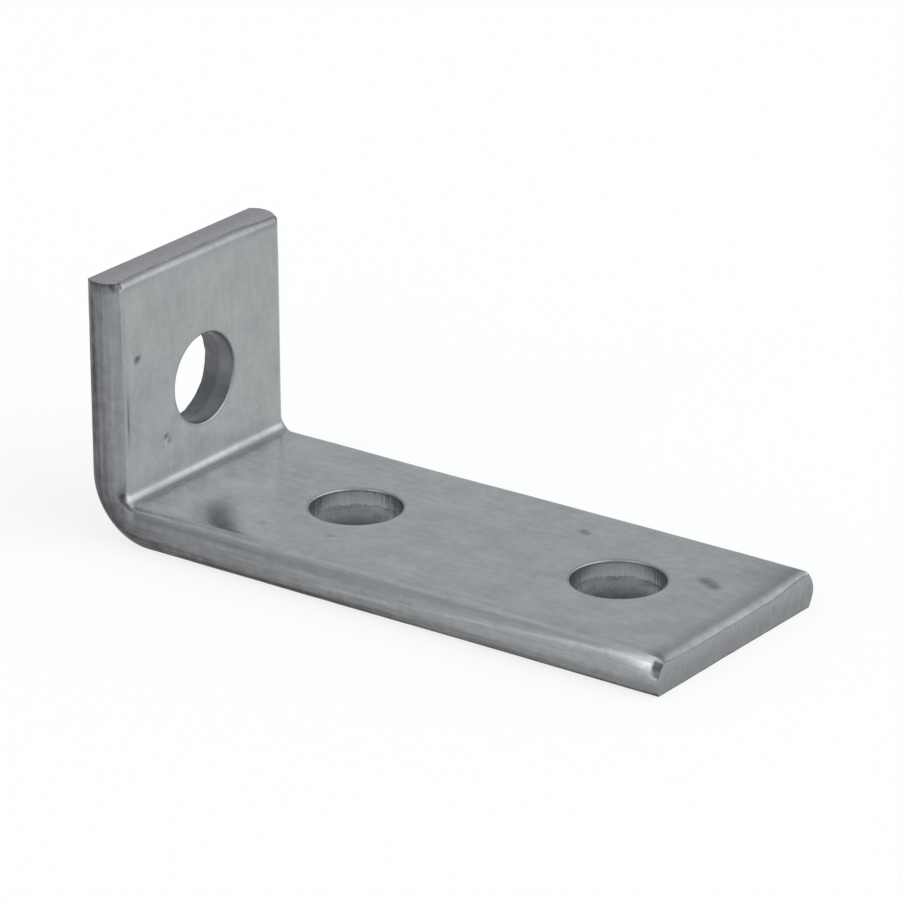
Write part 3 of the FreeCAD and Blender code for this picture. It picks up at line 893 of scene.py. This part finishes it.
studio = {
    "card": "#FAFAFA",
    "cardWhite": "#FBFBFB",
    "cardShare": 0.8,  # how much of the card that is seen is its own white, so the shadow on it stays soft
    "cardReach": 6.0,
    "cardDrop": 0.00003,  # it lies this far under the bar
    "air": "#EFF3F6",
    "airLevel": 0.84,
    # soft windows and shades of the room: bearing from +Y towards +X and half its span, height and half its
    # span, width of the soft edge, all in degrees, and how much lighter or darker than the room
    "windows": {
        "backRightStrip": (72, 47, 31, 25, 12, 1.9),
        "backLeftWall": (-45, 40, 22, 20, 14, 0.03),
        "highBackShade": (-5, 30, 46, 9, 8, -0.10),
        "frontShade": (-122, 26, 22, 18, 16, -0.22),
        "frontSoftbox": (180, 27, 24, 22, 12, 1.6),
        "highLeftGlow": (-82, 34, 54, 15, 14, 0.17),
        "sideShade": (145, 26, 42, 32, 14, -0.42),
    },
    "softbox": {"place": (0.15, 0.1, 1.2), "target": (0, 0, 0), "side": 0.8, "power": 1.0},
}


def layFloor():
    mesh = bpy.data.meshes.new("floor")
    reach, drop = studio["cardReach"], studio["cardDrop"]
    corners = [(x * reach, y * reach, -drop) for x, y in ((-1, -1), (1, -1), (1, 1), (-1, 1))]
    mesh.from_pydata(corners, [], [(0, 1, 2, 3)])
    floor = bpy.data.objects.new("floor", mesh)
    bpy.context.scene.collection.objects.link(floor)
    material, tree = newMaterial("paleCardFloor")
    card = {"Base Color": studio["card"], "Roughness": 0.9, "Specular IOR Level": 0.0}
    card = addNode(tree, "BsdfPrincipled", card)
    white = addNode(tree, "Emission", {"Color": studio["cardWhite"], "Strength": 1.0})
    seen = 0.0  # to the camera, in mirrors and through glass
    for ray in ("Is Camera Ray", "Is Glossy Ray", "Is Transmission Ray"):
        rays = addNode(tree, "LightPath", output=ray)
        seen = addNode(tree, "Math", {0: rays, 1: seen}, operation="MAXIMUM")
    share = addNode(tree, "Math", {0: seen, 1: studio["cardShare"]}, **times)
    mixed = addNode(tree, "MixShader", {0: share, 1: card, 2: white})
    addNode(tree, "OutputMaterial", {"Surface": mixed})
    mesh.materials.append(material)


def fillAir():
    # The world is an even pale room with soft windows. Each window's share is the product of two soft steps,
    # one on how far the ray's bearing is from the window's, one on how far its height is.
    world = bpy.data.worlds.new("studioAir")
    bpy.context.scene.world = world
    world.use_nodes = True
    tree = world.node_tree
    tree.nodes.clear()
    way = addNode(tree, "TexCoord", output="Generated")
    x, y, z = [addNode(tree, "SeparateXYZ", {0: way}, output=axis) for axis in "XYZ"]
    bearing = addNode(tree, "Math", {0: x, 1: y}, operation="ARCTAN2")
    height = addNode(tree, "Math", {0: z}, operation="ARCSINE")
    level = studio["airLevel"]
    for turn, turnHalf, lift, liftHalf, soft, share in studio["windows"].values():
        for value, centre, half in ((bearing, turn, turnHalf), (height, lift, liftHalf)):
            away = addNode(tree, "Math", {0: value, 1: math.radians(centre)}, operation="SUBTRACT")
            # the shorter way round
            away = addNode(tree, "Math", {0: away, 1: math.pi, 2: -math.pi}, operation="WRAP")
            away = addNode(tree, "Math", {0: away}, operation="ABSOLUTE")
            ends = {"From Min": math.radians(half + soft / 2), "From Max": math.radians(half - soft / 2)}
            step = addNode(tree, "MapRange", {"Value": away, **ends}, interpolation_type="SMOOTHSTEP")
            share = addNode(tree, "Math", {0: step, 1: share}, **times)
        level = addNode(tree, "Math", {0: share, 1: level}, operation="ADD")
    background = addNode(tree, "Background", {"Color": studio["air"], "Strength": level})
    addNode(tree, "OutputWorld", {"Surface": background})


def turnedPlace(right, up, back, place):
    # the matrix of a lamp or camera that stands at a place and faces away from its back
    matrix = np.eye(4)
    matrix[:3] = np.stack([right, up, back, place], 1)
    return Matrix(matrix.tolist())


def hangLamp(name, place, target, side, power):
    light = bpy.data.lights.new(name, "AREA")
    light.shape = "RECTANGLE"
    light.size = light.size_y = side
    light.energy = power
    lamp = bpy.data.objects.new(name, light)
    back = np.subtract(place, target)
    back /= np.linalg.norm(back)
    right = np.cross([0, 0, 1.0], back)
    right /= np.linalg.norm(right)
    lamp.matrix_world = turnedPlace(right, np.cross(back, right), back, place)
    bpy.context.scene.collection.objects.link(lamp)


# The camera was fitted to the photograph.
view = {
    "place": (422.2348, -583.2128, 307.2727),  # mm
    "bearing": 35.854,  # degrees, as the height and the roll
    "height": 21.798,
    "roll": 0.125,
    "focalPixels": 5244.68,
    "framePixels": 900,
}


def setCamera():
    # back points from the object to the camera; the roll turns right and up about it
    bearing, height, roll = np.radians([view["bearing"], view["height"], view["roll"]])
    back = np.array([np.sin(bearing) * np.cos(height), -np.cos(bearing) * np.cos(height), np.sin(height)])
    level = np.array([np.cos(bearing), np.sin(bearing), 0])
    down = np.cross(-back, level)
    right = np.cos(roll) * level + np.sin(roll) * down
    up = np.sin(roll) * level - np.cos(roll) * down
    data = bpy.data.cameras.new("camera")
    data.sensor_width = 36
    data.lens = view["focalPixels"] * data.sensor_width / view["framePixels"]
    data.clip_start = 0.05
    camera = bpy.data.objects.new("camera", data)
    camera.matrix_world = turnedPlace(right, up, back, np.array(view["place"]) / 1000)
    bpy.context.scene.collection.objects.link(camera)
    bpy.context.scene.camera = camera


layFloor()
fillAir()
hangLamp("overheadSoftbox", **studio["softbox"])
setCamera()
bpy.context.scene.view_settings.view_transform = "Standard"
print("studio set")
